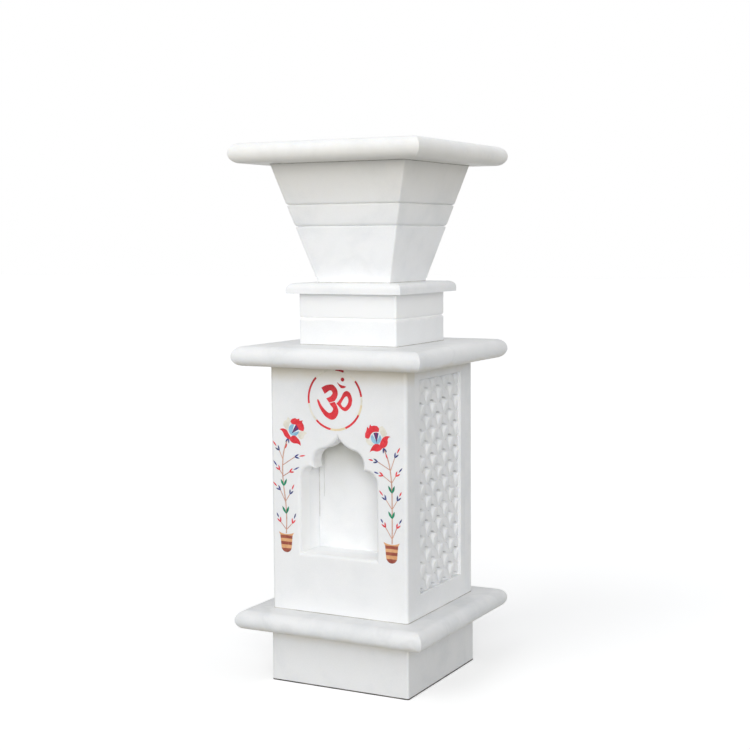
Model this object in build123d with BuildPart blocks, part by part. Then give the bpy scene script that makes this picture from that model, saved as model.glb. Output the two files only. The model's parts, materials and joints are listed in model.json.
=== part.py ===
"""Tulsi vrindavan in white marble: a pedestal planter built up from sawn, cemented and dowelled stones.

From the floor up: a square plinth, a slab with half-round edges, a hollow body of four upright panels
with an arched lamp niche in front and a carved lattice on each flank, a second slab, a grooved neck,
a thin collar, a hollow tapered pot and a rim slab with the planting hole.
Millimetres. +Z is up, the niche faces -Y, and the origin is at the middle of the foot.
"""

import os

from build123d import *

os.makedirs("parts", exist_ok=True)

# ------------------------------------------------------------------ driving dimensions
# Stones of the stack, all square in plan, from the floor up
plinth_width = 218.0
plinth_height = 77.0
slab_width = 295.0
slab_thickness = 28.0
body_width = 215.0
body_height = 348.0
neck_width = 154.0
neck_height = 72.0
collar_width = 181.0
collar_thickness = 15.0
pot_foot_width = 115.0
pot_top_width = 211.0
pot_height = 166.0

# Edges
block_edge_radius = 3.0
body_corner_radius = 5.0
arris_chamfer = 0.8
collar_edge_radius = 9.0
arch_edge_radius = 5.0

# Bands cut round the neck and the pot
neck_groove_rise = 38.0
neck_groove_height = 3.0
neck_groove_depth = 2.0
pot_lower_groove_rise = 78.0
pot_upper_groove_rise = 108.0
pot_groove_height = 4.0
pot_groove_depth = 2.5

# Hollow of the pot
pot_wall = 22.0
pot_floor_thickness = 22.0
pot_hollow_radius = 10.0
hole_lip_radius = 4.0
weep_hole_radius = 6.0
weep_hole_drop = 1.5

# Body panels
panel_thickness = 25.0

# Lamp niche: an arched opening between two piers of the front panel, with a square box behind it
pier_width = 47.5
niche_sill_height = 84.0
niche_box_depth = 28.0
niche_box_wall = 12.0
niche_headroom = 6.0
lower_foil_rise = 14.5
upper_foil_rise = 27.5
crown_rise = 17.0
foil_bulge = 0.24
crown_bulge = 0.1
lower_cusp_share = 0.625
upper_cusp_share = 0.433

# Inlay: thickness of the cut stone, and the round medallion over the arch, laid a little off the middle
inlay_depth = 2.0
medallion_drop = 44.5
medallion_gap = 10.2
medallion_shift = -3.0
ring_radius = 41.8
ring_band = 3.0

# Carved lattice on the flanks
field_side_margin = 15.5
field_top_margin = 16.5
field_bottom_margin = 33.5
field_sink = 5.0
lattice_rows = 8
lattice_half_columns = 7
star_depth = 4.0
star_land = 0.8
star_waist = 0.3

# Steel dowels between the stones
dowel_radius = 4.0
dowel_length = 40.0
dowel_play = 0.2
dowel_end_play = 0.4
plinth_dowel_spacing = 130.0
neck_dowel_spacing = 90.0
pot_dowel_spacing = 64.0
rim_dowel_inset = 14.5

# ------------------------------------------------------------------ drawings of the inlay
# Ring: arcs in degrees, anticlockwise from the right.
ring_arcs = {
    "ring_red_arcs": ((8, 40), (70, 88), (135, 189), (225, 260), (293, 332)),
    "ring_cream_arcs": ((40, 70), (88, 135), (189, 225), (352, 368)),
    "ring_gold_arcs": ((260, 293), (332, 352)),
}

# Plants: points as (across, up) on a pier plant_drawn_width wide. The stem is a chain of arcs: every
# second point is the middle of one. A sprig is the colour of its calyx, then its root on the stem,
# the fork of the calyx and the tip of the bud. A flower's points are counted from its middle: the
# lower petals are one loop of arcs, the crest and the pale petals are straight-sided.
plant_drawn_width = 47.5
left_plant = {
    "stem": ((-0.2, 25.5), (0.6, 53.5), (-2.2, 84), (-4.8, 110), (-4.2, 133), (-1.7, 146), (3.5, 159)),
    "leaf_pairs": (((0.2, 53.5), (-6.2, 64.5), (4.8, 65)), ((-3.2, 93), (-8.2, 103), (1.8, 104))),
    "sprigs": (
        ("red", ((0.3, 31), (-9.2, 41.5), (-15.8, 54.5))),
        ("red", ((0.3, 31), (10.2, 41), (16.2, 56))),
        ("navy", ((-1.2, 72), (-9.2, 87.5), (-21.2, 98))),
        ("navy", ((-1, 71), (6.8, 82.5), (13.8, 97))),
        ("red", ((-4.8, 109), (-9.8, 116), (-20.2, 129))),
        ("red", ((-4.6, 107), (6.8, 114), (22.8, 122))),
        ("navy", ((-4.8, 123), (15.8, 136), (32.8, 139))),
        ("navy", ((-4.2, 131), (-10.2, 144), (-20.8, 157))),
    ),
    "stem_bud": ((-0.4, 146.5), (3.2, 154.5)),
    "sepals": ((5, 161.5), (2.5, 153)),
    "flower": (12.8, 174),
    "lower_petals": (
        (-22, -0.5), (-15.5, 1.2), (-9.5, -1.5), (-7, -5.5), (-3.5, -10.5), (2, -7.9), (7, -11), (11, -15),
        (12.2, -22), (8.5, -19.6), (3, -19.2), (-2.5, -17.5), (-6, -13.5), (-12.5, -10.5), (-16, -5),
        (-18.5, -2),
    ),
    "crest": (
        (-4, 11.5), (-3, 14), (0, 16), (4, 16.8), (7, 15.5), (11, 16.5), (10.5, 14), (13, 13.5),
        (16.5, 14.5), (15, 11.5), (17.5, 8), (18.5, 3), (17, -1), (13, -0.5), (9.5, 0.8), (8.5, 4),
        (5, 7.5), (0, 8), (-2, 8.5),
    ),
    "pale_petals": (
        ((-16, 6), (-15, 11), (-10, 14), (-8, 18), (-5.5, 16), (-3, 11), (-6, 8), (-7, 3), (-9.5, -2.5)),
        ((9, -3), (16, 0.3), (21, -2), (23, -3.5), (19, -6), (17, -11), (13, -13), (10, -11), (8, -7)),
    ),
    "cup": (1.5, 0),
    "cup_radius": 8.5,
    "wedge": ((-2.5, -5.5), (8, 5)),
}
right_plant = {
    "stem": ((-0.8, 25.5), (-1.2, 60), (-1.1, 95), (-0.5, 110), (1.4, 126.5), (5.2, 142), (11, 155)),
    "leaf_pairs": (((-1.2, 60), (4.8, 70.5), (-4.8, 70.5)), ((-1.2, 95), (4.8, 106), (-5.2, 106))),
    "sprigs": (
        ("red", ((-1, 32), (9.2, 48), (16.8, 59.5))),
        ("red", ((-1, 32), (-8.2, 48), (-16.2, 61.5))),
        ("navy", ((-1.2, 73), (8.2, 86), (18.8, 98.5))),
        ("navy", ((-1.2, 73), (-9.2, 86), (-15.8, 98.5))),
        ("red", ((-0.4, 110), (12.8, 119), (26.8, 123.5))),
        ("red", ((-0.4, 109), (-7.2, 119.5), (-17.2, 131.5))),
        ("navy", ((1.2, 127), (20.8, 137.5), (35.2, 140))),
        ("navy", ((1, 126), (-5.8, 145), (-13.8, 159))),
    ),
    "stem_bud": ((5.5, 142), (8.2, 149.5)),
    "sepals": ((11.2, 156.5), (8.5, 148.5)),
    "flower": (21.8, 169),
    "lower_petals": (
        (-21.5, 3.5), (-14, 4.3), (-8, 0), (-5.9, -4), (-4.5, -8.2), (1, -7), (6, -10), (9, -14.5),
        (11, -19.5), (7, -17), (2, -17.5), (-4, -16.5), (-8.5, -12.5), (-15, -9), (-17, -3), (-18, 2),
    ),
    "crest": (
        (18, 0.5), (18, 6), (16, 10), (14.5, 16), (12, 13.5), (10, 19.5), (8, 17), (4, 18), (-1, 17.5),
        (-4, 14), (-3, 9.5), (2, 9.5), (6, 8.5), (9, 5.5), (10.5, 2), (12, -0.5), (15, -0.5),
    ),
    "pale_petals": (
        ((-3, 16), (-9, 18), (-13, 14), (-16, 8), (-14, 3), (-10, 0.5), (-7, 6), (-5, 10), (-3, 14)),
        ((17, 0.8), (13.5, 0.3), (9, -4), (5, -7.5), (8, -10.5), (13, -9), (16.5, -5)),
    ),
    "cup": (0.95, 0.5),
    "cup_radius": 8,
    "wedge": ((0.1, -5.9), (1, 8.5)),
}

# Cup of a flower: a dark wedge with a lit stripe, and bare marble between the wedge and the cup.
# Lengths on the same scale, spreads in degrees from the wedge's root.
wedge_length = 20.0
wedge_spread = 16
stripe_start = 3.0
stripe_spread = 7
bare_start = 1.0
bare_spread = 27

# Sprigs and vase: lengths on the same scale, spread in degrees
calyx_root = 1.0
calyx_arm = 7.5
calyx_width = 2.4
calyx_spread = 24
bud_base = 6.5
bud_width = 2.2
leaf_width = 3.6
leaf_profile = ((0.25, 0.72), (0.5, 1), (0.75, 0.72))
stem_width = 1.7
twig_width = 1.2
vase_lip = ((-12.5, 27.5), (0, 24.5), (12.5, 27.5))
vase_side = ((-10, 22.5), (-8.5, 6), (0, -1.5), (8.5, 6), (10, 22.5))
tan_stripes = ((4.5, 9.5), (14, 18.5), (23, 28))
brown_stripes = ((-2, 4.5), (9.5, 14), (18.5, 23))

# ------------------------------------------------------------------ levels and fits
lower_slab_z = plinth_height
body_z = lower_slab_z + slab_thickness
upper_slab_z = body_z + body_height
neck_z = upper_slab_z + slab_thickness
collar_z = neck_z + neck_height
pot_z = collar_z + collar_thickness
rim_z = pot_z + pot_height

body_half = body_width / 2
inner_half = body_half - panel_thickness
niche_half = body_half - pier_width
medallion_z = upper_slab_z - medallion_drop
apex_z = medallion_z - ring_radius - ring_band / 2 - medallion_gap
springing_z = apex_z - lower_foil_rise - upper_foil_rise - crown_rise
sill_z = body_z + niche_sill_height
planting_hole_width = pot_top_width - 2 * pot_wall
socket_radius = dowel_radius + dowel_play
socket_length = dowel_length + 2 * dowel_end_play

front_face = Plane.XZ.offset(body_half)


def diagonal_pair(spacing):
    """Two points on a diagonal, a spacing apart along X and Y."""
    return [(-spacing / 2, -spacing / 2), (spacing / 2, spacing / 2)]


def cross_points(reach):
    """Middle of each side of a square about the centre line."""
    return [(-reach, 0), (reach, 0), (0, -reach), (0, reach)]


panel_line = body_half - panel_thickness / 2
panel_dowel_points = cross_points(panel_line)
rim_dowel_points = cross_points(pot_top_width / 2 - rim_dowel_inset)
pot_joint_z = collar_z + collar_thickness / 2


def bore_sockets(points, joint_z):
    """Bore the open part for dowels that straddle a joint."""
    with Locations(*[(x, y, joint_z) for x, y in points]):
        Cylinder(socket_radius, socket_length, mode=Mode.SUBTRACT)


def set_dowels(points, joint_z):
    """Stand dowels across a joint, in the open part."""
    with Locations(*[(x, y, joint_z) for x, y in points]):
        Cylinder(dowel_radius, dowel_length)


def keep(piece, name):
    """Name a finished piece and write it out."""
    piece.part.label = name
    export_step(piece.part, f"parts/{name}.step")


def bullnose_slab(base_z):
    """Square slab whose half-round edges meet in mitres."""
    middle = base_z + slab_thickness / 2
    with BuildPart() as slab:
        with BuildSketch(Plane.XZ):
            with Locations((0, middle)):
                SlotOverall(slab_width, slab_thickness)
        extrude(amount=slab_width / 2, both=True)
        with BuildSketch(Plane.YZ):
            with Locations((0, middle)):
                SlotOverall(slab_width, slab_thickness)
        extrude(amount=slab_width / 2, both=True, mode=Mode.INTERSECT)
    return slab.part


# ------------------------------------------------------------------ foot
with BuildPart() as plinth_block:
    with BuildSketch():
        RectangleRounded(plinth_width, plinth_width, block_edge_radius)
    extrude(amount=plinth_height)
    chamfer(plinth_block.faces().filter_by(Axis.Z).edges(), arris_chamfer)
    bore_sockets(diagonal_pair(plinth_dowel_spacing), lower_slab_z)
keep(plinth_block, "plinth_block")

with BuildPart() as lower_slab:
    add(bullnose_slab(lower_slab_z))
    bore_sockets(diagonal_pair(plinth_dowel_spacing), lower_slab_z)
    bore_sockets(panel_dowel_points, body_z)
keep(lower_slab, "lower_slab")


# ------------------------------------------------------------------ inlay
# Coloured stone let flush into the front panel: a broken ring over the arch and, beside the niche,
# two flowering plants in vases. Each plant is drawn on its own pier: across runs towards the niche
# and up runs from the sill. The two are laid by hand and differ a little.
plant_scale = pier_width / plant_drawn_width
plant_x = niche_half + pier_width / 2
inlays = []


def lay(piece, name):
    """Keep an inlay piece and remember it for its pocket in the front panel."""
    keep(piece, name)
    inlays.append(piece.part)


def trim_to_neighbours():
    """Cut the open inlay piece back from every piece laid before it."""
    add(inlays, mode=Mode.SUBTRACT)


def spot(side, across, up):
    """Place on the front face for a point of a plant's drawing, on the left (-1) or right (1)."""
    return (side * (plant_x - plant_scale * across), sill_z + plant_scale * up)


def ahead(start, end, reach, turn=0):
    """Point at a distance from start, in the direction of end turned by some degrees."""
    heading = Vector(end[0] - start[0], end[1] - start[1]).normalized().rotate(Axis.Z, turn)
    return (start[0] + reach * heading.X, start[1] + reach * heading.Y)


def ring_arc(start_angle, end_angle):
    """Piece of the ring between two angles, counted anticlockwise from the right."""
    with BuildSketch() as outline:
        with BuildLine():
            CenterArc((medallion_shift, medallion_z), ring_radius, start_angle, end_angle - start_angle)
        trace(line_width=ring_band)
    return outline.sketch


def leaf(base, tip, width):
    """Slender leaf, pointed at both ends and cut with short straight sides."""
    start, end = Vector(*base), Vector(*tip)
    half = (end - start).normalized().rotate(Axis.Z, 90) * (width / 2)
    near = [start + (end - start) * share + half * fullness for share, fullness in leaf_profile]
    far = [start + (end - start) * share - half * fullness for share, fullness in leaf_profile[::-1]]
    with BuildSketch() as outline:
        Polygon(start, *near, end, *far, align=None)
    return outline.sketch


def calyx(fork, tip):
    """Two small leaves that open round a bud, rooted a little way down its twig."""
    root = ahead(fork, tip, -plant_scale * calyx_root)
    with BuildSketch() as outline:
        for turn in (-calyx_spread, calyx_spread):
            add(leaf(root, ahead(fork, tip, plant_scale * calyx_arm, turn), plant_scale * calyx_width))
    return outline.sketch


def bud(fork, tip):
    """Bud that stands clear of its calyx."""
    return leaf(ahead(fork, tip, plant_scale * bud_base), tip, plant_scale * bud_width)


def arcs_through(points):
    """Chain of arcs in the open line; every second point is the middle of an arc."""
    for start, middle, end in zip(points[::2], points[1::2], points[2::2]):
        ThreePointArc(start, middle, end)


def wedge(root, top, start, spread):
    """Triangle that opens from a point on the way from the root to the top."""
    with BuildSketch() as outline:
        Polygon(
            ahead(root, top, plant_scale * start),
            ahead(root, top, plant_scale * wedge_length, spread),
            ahead(root, top, plant_scale * wedge_length, -spread),
            align=None,
        )
    return outline.sketch


def vase(side, stripes):
    """Stripes of a vase with a flared lip and a round bottom."""
    lip_left, lip_dip, lip_right = (spot(side, *point) for point in vase_lip)
    waist_left, foot_left, foot, foot_right, waist_right = (spot(side, *point) for point in vase_side)
    with BuildSketch() as outline:
        with BuildLine():
            ThreePointArc(lip_left, lip_dip, lip_right)
            Polyline(lip_right, waist_right, foot_right)
            ThreePointArc(foot_right, foot, foot_left)
            Polyline(foot_left, waist_left, lip_left)
        make_face()
        with BuildSketch(mode=Mode.INTERSECT):
            for low, high in stripes:
                with Locations(spot(side, 0, (low + high) / 2)):
                    Rectangle(plant_scale * plant_drawn_width, plant_scale * (high - low))
    return outline.sketch


for name, arcs in ring_arcs.items():
    with BuildPart() as ring_piece:
        with BuildSketch(front_face):
            for start_angle, end_angle in arcs:
                add(ring_arc(start_angle, end_angle))
        extrude(amount=-inlay_depth)
    lay(ring_piece, name)

for name, side, plant in (("left", -1, left_plant), ("right", 1, right_plant)):

    def on_pier(points):
        return [spot(side, across, up) for across, up in points]

    def on_flower(points):
        across, up = plant["flower"]
        return on_pier([(across + dx, up + dy) for dx, dy in points])

    sprigs = [(colour, *on_pier(points)) for colour, points in plant["sprigs"]]

    with BuildPart() as red_petals:
        with BuildSketch(front_face):
            with BuildLine():
                arcs_through(on_flower(plant["lower_petals"] + plant["lower_petals"][:1]))
            make_face()
            Polygon(*on_flower(plant["crest"]), align=None)
        extrude(amount=-inlay_depth)
    lay(red_petals, f"{name}_red_petals")

    cup_middle, root, top = on_flower([plant["cup"], *plant["wedge"]])
    cup_disc = Pos(*cup_middle) * Circle(plant_scale * plant["cup_radius"])

    with BuildPart() as cup_stripe:
        with BuildSketch(front_face):
            add(wedge(root, top, stripe_start, stripe_spread))
            add(cup_disc, mode=Mode.INTERSECT)
        extrude(amount=-inlay_depth)
        trim_to_neighbours()
    lay(cup_stripe, f"{name}_cup_stripe")

    with BuildPart() as cup_wedge:
        with BuildSketch(front_face):
            add(wedge(root, top, 0, wedge_spread))
            add(cup_disc, mode=Mode.INTERSECT)
        extrude(amount=-inlay_depth)
        trim_to_neighbours()
    lay(cup_wedge, f"{name}_cup_wedge")

    with BuildPart() as cup:
        with BuildSketch(front_face):
            add(cup_disc)
            add(wedge(root, top, bare_start, bare_spread), mode=Mode.SUBTRACT)
        extrude(amount=-inlay_depth)
        trim_to_neighbours()
    lay(cup, f"{name}_cup")

    with BuildPart() as cream_petals:
        with BuildSketch(front_face):
            for outline in plant["pale_petals"]:
                Polygon(*on_flower(outline), align=None)
        extrude(amount=-inlay_depth)
        trim_to_neighbours()
    lay(cream_petals, f"{name}_cream_petals")

    with BuildPart() as leaves:
        with BuildSketch(front_face):
            for points in plant["leaf_pairs"]:
                base, *tips = on_pier(points)
                for tip in tips:
                    add(leaf(base, tip, plant_scale * leaf_width))
        extrude(amount=-inlay_depth)
    lay(leaves, f"{name}_leaves")

    for sprig_colour in ("red", "navy"):
        with BuildPart() as sprig_pieces:
            with BuildSketch(front_face):
                for colour, _, fork, tip in sprigs:
                    if colour == sprig_colour:
                        add(calyx(fork, tip))
                    else:
                        add(bud(fork, tip))
                if sprig_colour == "navy":
                    add(calyx(*on_pier(plant["sepals"])))
                else:
                    add(leaf(*on_pier(plant["stem_bud"]), plant_scale * bud_width))
            extrude(amount=-inlay_depth)
            trim_to_neighbours()
        lay(sprig_pieces, f"{name}_{sprig_colour}_sprigs")

    for band_colour, stripes in (("tan", tan_stripes), ("brown", brown_stripes)):
        with BuildPart() as vase_bands:
            with BuildSketch(front_face):
                add(vase(side, stripes))
            extrude(amount=-inlay_depth)
        lay(vase_bands, f"{name}_vase_{band_colour}_bands")

    with BuildPart() as stem:
        with BuildSketch(front_face):
            with BuildLine():
                arcs_through(on_pier(plant["stem"]))
            trace(line_width=plant_scale * stem_width)
            with BuildLine():
                for _, root, fork, _ in sprigs:
                    Line(root, fork)
            trace(line_width=plant_scale * twig_width)
        extrude(amount=-inlay_depth)
        trim_to_neighbours()
    lay(stem, f"{name}_stem")

# ------------------------------------------------------------------ body
def niche_outline():
    """Outline of the arched opening: upright jambs, two foils a side and an ogee crown."""
    jamb = (niche_half, springing_z)
    lower_cusp = (niche_half * lower_cusp_share, springing_z + lower_foil_rise)
    upper_cusp = (niche_half * upper_cusp_share, springing_z + lower_foil_rise + upper_foil_rise)
    apex = (0, apex_z)
    with BuildSketch() as outline:
        with BuildLine():
            Polyline((0, sill_z), (niche_half, sill_z), jamb)
            ThreePointArc(jamb, bulge_point(jamb, lower_cusp, -foil_bulge), lower_cusp)
            ThreePointArc(lower_cusp, bulge_point(lower_cusp, upper_cusp, -foil_bulge), upper_cusp)
            ThreePointArc(upper_cusp, bulge_point(upper_cusp, apex, crown_bulge), apex)
            mirror(about=Plane.YZ)
        make_face()
    return outline.sketch


def bulge_point(start, end, share):
    """Middle of a chord, moved to its left by a share of its length."""
    run, rise = end[0] - start[0], end[1] - start[1]
    return ((start[0] + end[0]) / 2 - share * rise, (start[1] + end[1]) / 2 + share * run)


with BuildPart() as front_panel:
    with BuildSketch(Plane.XY.offset(body_z)):
        with Locations((0, -panel_line)):
            Rectangle(body_width, panel_thickness)
    extrude(amount=body_height)
    fillet(front_panel.edges().filter_by(Axis.Z).group_by(Axis.Y)[0], body_corner_radius)
    with BuildSketch(front_face):
        add(niche_outline())
    extrude(amount=-panel_thickness, mode=Mode.SUBTRACT)
    arch_edges = front_panel.faces().sort_by(Axis.Y)[0].inner_wires()[0].edges()
    fillet(arch_edges, arch_edge_radius)
    trim_to_neighbours()
    bore_sockets(panel_dowel_points, body_z)
    bore_sockets(panel_dowel_points, upper_slab_z)
keep(front_panel, "front_panel")

with BuildPart() as back_panel:
    with BuildSketch(Plane.XY.offset(body_z)):
        with Locations((0, panel_line)):
            Rectangle(body_width, panel_thickness)
    extrude(amount=body_height)
    fillet(back_panel.edges().filter_by(Axis.Z).group_by(Axis.Y)[-1], body_corner_radius)
    bore_sockets(panel_dowel_points, body_z)
    bore_sockets(panel_dowel_points, upper_slab_z)
keep(back_panel, "back_panel")

# Each flank is sunk to a field, and the field is cut with four-pointed stars in staggered
# columns. What stays between the stars is a net of crossing leaves.
field_width = 2 * (inner_half - field_side_margin)
field_base_z = body_z + field_bottom_margin
field_height = body_height - field_bottom_margin - field_top_margin
cell_height = field_height / lattice_rows
cell_width = field_width / (lattice_half_columns / 2)
star_half_width = cell_width / 2 - star_land
star_half_height = cell_height / 2 - star_land
star_points = []
for column in range(-(lattice_half_columns // 2), lattice_half_columns // 2 + 1):
    odd = column % 2
    for row in range(lattice_rows - odd):
        star_points.append((column * cell_width / 2, field_base_z + (row + 0.5 + 0.5 * odd) * cell_height))


def star_outline():
    """Four-pointed star with its waist drawn in between the points."""
    waist_x = star_half_width * star_waist
    waist_y = star_half_height * star_waist
    corners = []
    for across, up in ((1, 1), (-1, 1), (-1, -1), (1, -1)):
        corners.append((across * waist_x, up * waist_y))
    points = [(star_half_width, 0), (0, star_half_height), (-star_half_width, 0), (0, -star_half_height)]
    ring = []
    for point, corner in zip(points, corners):
        ring += [point, corner]
    return ring


flank = Plane.YZ.offset(body_half)
field = flank.offset(-field_sink)
field_middle = (0, field_base_z + field_height / 2)

with BuildPart() as star_cutter:
    with BuildSketch(field, mode=Mode.PRIVATE) as star:
        Polygon(*star_outline(), align=None)
    loft([star.sketch.face(), Vertex(body_half - field_sink - star_depth, 0, 0)], ruled=True)

with BuildPart() as star_cutters:
    with Locations(*[(0, across, up) for across, up in star_points]):
        add(star_cutter.part)
    with BuildSketch(field.offset(-star_depth)):
        with Locations(field_middle):
            Rectangle(field_width, field_height)
    extrude(amount=2 * star_depth, mode=Mode.INTERSECT)

with BuildPart() as right_panel:
    with BuildSketch(Plane.XY.offset(body_z)):
        with Locations((panel_line, 0)):
            Rectangle(panel_thickness, 2 * inner_half)
    extrude(amount=body_height)
    with BuildSketch(flank):
        with Locations(field_middle):
            Rectangle(field_width, field_height)
    extrude(amount=-field_sink, mode=Mode.SUBTRACT)
    add(star_cutters.part, mode=Mode.SUBTRACT)
    bore_sockets(panel_dowel_points, body_z)
    bore_sockets(panel_dowel_points, upper_slab_z)
keep(right_panel, "right_panel")

with BuildPart() as left_panel:
    mirror(right_panel.part, about=Plane.YZ)
keep(left_panel, "left_panel")

# ------------------------------------------------------------------ niche box
box_back_y = -inner_half + niche_box_depth
box_top_z = apex_z + niche_headroom


def box_plate(x_span, y_span, z_span):
    """Sawn plate between two corners."""
    with BuildPart() as plate:
        with BuildSketch(Plane.XY.offset(z_span[0])):
            with Locations((sum(x_span) / 2, sum(y_span) / 2)):
                Rectangle(x_span[1] - x_span[0], y_span[1] - y_span[0])
        extrude(amount=z_span[1] - z_span[0])
    return plate.part


box_half = niche_half + niche_box_wall
box_depth_span = (-inner_half, box_back_y)
box_height_span = (sill_z - niche_box_wall, box_top_z + niche_box_wall)
niche_plates = {
    "niche_floor": ((-niche_half, niche_half), box_depth_span, (sill_z - niche_box_wall, sill_z)),
    "niche_ceiling": ((-niche_half, niche_half), box_depth_span, (box_top_z, box_top_z + niche_box_wall)),
    "niche_left_cheek": ((-box_half, -niche_half), box_depth_span, box_height_span),
    "niche_right_cheek": ((niche_half, box_half), box_depth_span, box_height_span),
    "niche_back": ((-box_half, box_half), (box_back_y, box_back_y + niche_box_wall), box_height_span),
}
for name, spans in niche_plates.items():
    with BuildPart() as niche_plate:
        add(box_plate(*spans))
    keep(niche_plate, name)

# ------------------------------------------------------------------ neck and collar
with BuildPart() as upper_slab:
    add(bullnose_slab(upper_slab_z))
    bore_sockets(panel_dowel_points, upper_slab_z)
    bore_sockets(diagonal_pair(neck_dowel_spacing), neck_z)
keep(upper_slab, "upper_slab")

with BuildPart() as neck_block:
    with BuildSketch(Plane.XY.offset(neck_z)):
        RectangleRounded(neck_width, neck_width, block_edge_radius)
    extrude(amount=neck_height)
    with BuildSketch(Plane.XY.offset(neck_z + neck_groove_rise)):
        Rectangle(neck_width, neck_width)
        RectangleRounded(
            neck_width - 2 * neck_groove_depth,
            neck_width - 2 * neck_groove_depth,
            block_edge_radius,
            mode=Mode.SUBTRACT,
        )
    extrude(amount=neck_groove_height / 2, both=True, mode=Mode.SUBTRACT)
    bore_sockets(diagonal_pair(neck_dowel_spacing), neck_z)
    bore_sockets(diagonal_pair(pot_dowel_spacing), pot_joint_z)
keep(neck_block, "neck_block")

with BuildPart() as collar_slab:
    with BuildSketch(Plane.XY.offset(collar_z)):
        Rectangle(collar_width, collar_width)
    extrude(amount=collar_thickness)
    fillet(collar_slab.faces().sort_by(Axis.Z)[-1].edges(), collar_edge_radius)
    bore_sockets(diagonal_pair(pot_dowel_spacing), pot_joint_z)
keep(collar_slab, "collar_slab")

# ------------------------------------------------------------------ pot and rim
pot_flare = (pot_top_width - pot_foot_width) / pot_height


def pot_width_at(rise):
    """Outer width of the pot at a height above its foot."""
    return pot_foot_width + pot_flare * rise


def flared_block(low_rise, wall, edge_radius):
    """Square block a wall's width inside the pot, from a height above its foot up to the rim."""
    low_z = pot_z + low_rise
    low_half = pot_width_at(low_rise) / 2 - wall
    high_half = pot_top_width / 2 - wall
    side_outline = ((-low_half, low_z), (low_half, low_z), (high_half, rim_z), (-high_half, rim_z))
    with BuildPart() as block:
        with BuildSketch(Plane.XZ):
            Polygon(*side_outline, align=None)
        extrude(amount=high_half, both=True)
        with BuildSketch(Plane.YZ):
            Polygon(*side_outline, align=None)
        extrude(amount=high_half, both=True, mode=Mode.INTERSECT)
        fillet(block.edges().filter_by(Plane.XY, reverse=True), edge_radius)
    return block.part


with BuildPart() as planter_pot:
    add(flared_block(0, 0, block_edge_radius))
    for rise in (pot_lower_groove_rise, pot_upper_groove_rise):
        with BuildSketch(Plane.XY.offset(pot_z + rise)):
            Rectangle(pot_top_width, pot_top_width)
            groove_root = pot_width_at(rise) - 2 * pot_groove_depth
            RectangleRounded(groove_root, groove_root, block_edge_radius, mode=Mode.SUBTRACT)
        extrude(amount=pot_groove_height / 2, both=True, mode=Mode.SUBTRACT)
    add(flared_block(pot_floor_thickness, pot_wall, pot_hollow_radius), mode=Mode.SUBTRACT)
    # The weep hole lies a little below the floor, so that a shallow gutter leads the water to it.
    weep_hole_z = pot_z + pot_floor_thickness + weep_hole_radius - weep_hole_drop
    with BuildSketch(Plane.XZ):
        with Locations((0, weep_hole_z)):
            Circle(weep_hole_radius)
    extrude(amount=-pot_top_width / 2, mode=Mode.SUBTRACT)
    bore_sockets(diagonal_pair(pot_dowel_spacing), pot_joint_z)
    bore_sockets(rim_dowel_points, rim_z)
keep(planter_pot, "planter_pot")

with BuildPart() as rim_slab:
    add(bullnose_slab(rim_z))
    with BuildSketch(Plane.XY.offset(rim_z)):
        RectangleRounded(planting_hole_width, planting_hole_width, pot_hollow_radius)
    extrude(amount=slab_thickness, mode=Mode.SUBTRACT)
    hole_edges = rim_slab.faces().sort_by(Axis.Z)[-1].inner_wires()[0].edges()
    fillet(hole_edges, hole_lip_radius)
    bore_sockets(rim_dowel_points, rim_z)
keep(rim_slab, "rim_slab")

# ------------------------------------------------------------------ dowels
with BuildPart() as plinth_dowels:
    set_dowels(diagonal_pair(plinth_dowel_spacing), lower_slab_z)
keep(plinth_dowels, "plinth_dowels")

with BuildPart() as panel_dowels:
    set_dowels(panel_dowel_points, body_z)
    set_dowels(panel_dowel_points, upper_slab_z)
keep(panel_dowels, "panel_dowels")

with BuildPart() as neck_dowels:
    set_dowels(diagonal_pair(neck_dowel_spacing), neck_z)
keep(neck_dowels, "neck_dowels")

with BuildPart() as pot_dowels:
    set_dowels(diagonal_pair(pot_dowel_spacing), pot_joint_z)
keep(pot_dowels, "pot_dowels")

with BuildPart() as rim_dowels:
    set_dowels(rim_dowel_points, rim_z)
keep(rim_dowels, "rim_dowels")
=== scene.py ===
"""Tulsi vrindavan planter: polished marble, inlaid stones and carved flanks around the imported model."""
import json
import math

import bmesh
import bpy
from mathutils import Matrix


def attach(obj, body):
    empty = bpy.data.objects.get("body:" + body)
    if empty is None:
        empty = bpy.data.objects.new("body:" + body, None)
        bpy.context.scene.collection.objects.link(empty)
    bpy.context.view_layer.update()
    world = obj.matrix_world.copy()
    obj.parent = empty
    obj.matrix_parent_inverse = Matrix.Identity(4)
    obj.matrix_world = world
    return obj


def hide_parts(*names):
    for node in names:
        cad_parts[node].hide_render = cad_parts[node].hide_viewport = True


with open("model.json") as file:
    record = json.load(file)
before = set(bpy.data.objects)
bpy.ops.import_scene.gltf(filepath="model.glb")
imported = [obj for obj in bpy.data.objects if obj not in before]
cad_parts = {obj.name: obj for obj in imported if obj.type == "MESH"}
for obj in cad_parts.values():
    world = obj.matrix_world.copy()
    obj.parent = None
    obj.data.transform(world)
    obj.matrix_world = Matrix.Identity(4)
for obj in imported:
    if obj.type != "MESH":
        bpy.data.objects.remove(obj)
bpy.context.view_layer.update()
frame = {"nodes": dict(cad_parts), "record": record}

MM = 0.001
WELD = 1e-6
nodes = frame["nodes"]
scene = bpy.context.scene


# ------------------------------------------------------------------ camera
# Place in metres; turn to the right of the front, dip and roll in degrees; lens in millimetres
CAMERA_PLACE = (0.9740, -1.8318, 0.6267)
CAMERA_TURN = 27.69
CAMERA_DIP = 5.34
CAMERA_ROLL = -0.39
CAMERA_LENS = 69.39
CAMERA_WIDTH = 36.0
CAMERA_SHIFT = (-0.0079, 0.0008)
CAMERA_REACH = 50.0


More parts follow.
